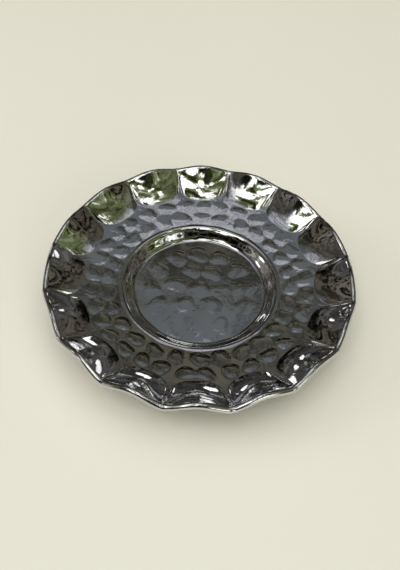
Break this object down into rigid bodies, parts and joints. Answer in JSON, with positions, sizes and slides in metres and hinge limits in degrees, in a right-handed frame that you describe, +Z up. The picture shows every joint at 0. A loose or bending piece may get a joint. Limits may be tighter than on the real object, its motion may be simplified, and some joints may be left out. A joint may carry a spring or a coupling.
{
  "type": "tea saucer",
  "caption": "Round ceramic tea saucer with a mirror-bright metallic glaze, a rim pressed into cupped scoops, low raised marks, a sunken cup well and a foot ring.",
  "frame": {"origin": "centre of the foot ring, on the surface the saucer stands on", "axes": "+Z up along the saucer's axis; -Y through the middle of the scoop that faces the viewer; +X to the right"},
  "size_m": [0.147, 0.147, 0.0227],
  "materials": {
    "bare_clay": "matte",
    "mirror_glaze": "mirror-bright metallic glaze"
  },
  "bodies": {
    "root": {"ceramic_body": "bare_clay", "face_glaze": "mirror_glaze", "back_glaze": "mirror_glaze", "recess_glaze": "mirror_glaze"}
  },
  "joints": []
}
